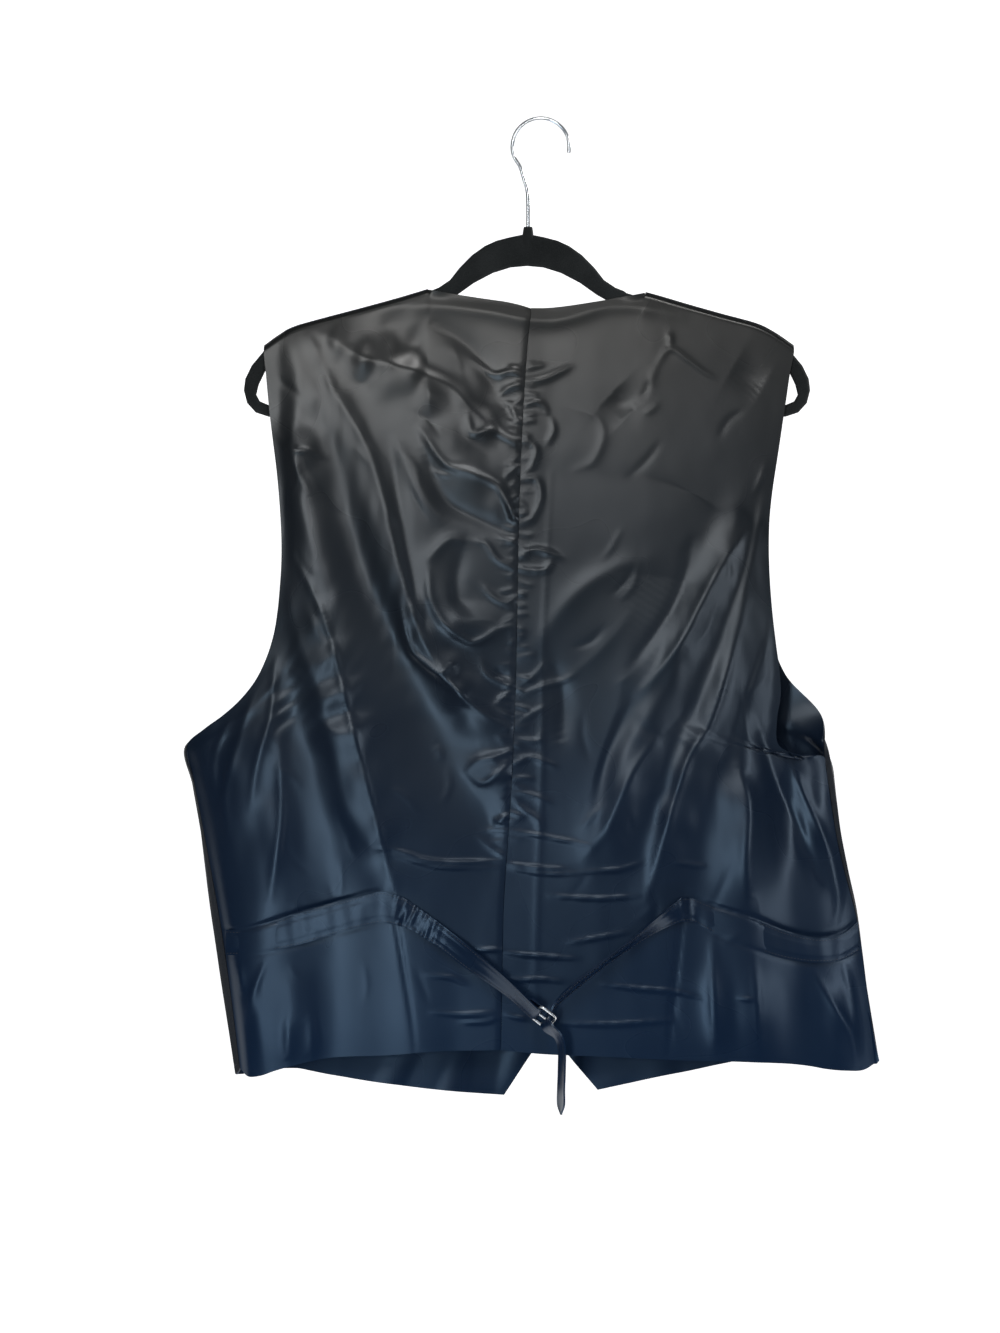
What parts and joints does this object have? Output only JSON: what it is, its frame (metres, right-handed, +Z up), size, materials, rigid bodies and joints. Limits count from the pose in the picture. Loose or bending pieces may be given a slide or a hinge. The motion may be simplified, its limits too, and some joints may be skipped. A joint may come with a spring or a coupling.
{
  "type": "suit waistcoat on a hanger",
  "caption": "Tailored suit waistcoat with a satin back, back strap and slide buckle, pointed fronts and open armholes, hanging from a slim flat hanger with a wire hook.",
  "frame": {"origin": "inside top of the hanger's hook, where a rail carries it", "axes": "+Z up, +Y out of the garment's back, +X to the wearer's left"},
  "size_m": [0.544, 0.0818, 0.7812],
  "materials": {
    "satin": "satin weave",
    "suiting": "fine worsted twill",
    "buckle_metal": "polished",
    "button": "semi-matt",
    "velvet": "flocked velvet",
    "hook_metal": "polished"
  },
  "bodies": {
    "root": {"back_left": "satin", "back_right": "satin", "front_left": "suiting", "front_right": "suiting", "front_left_lining": "satin", "front_right_lining": "satin", "strap_left": "satin", "strap_right": "satin", "buckle": "buckle_metal", "hanger": "velvet", "hanger_hook": "hook_metal", "button_1": "button", "button_2": "button", "button_3": "button", "button_4": "button", "button_5": "button"}
  },
  "joints": []
}
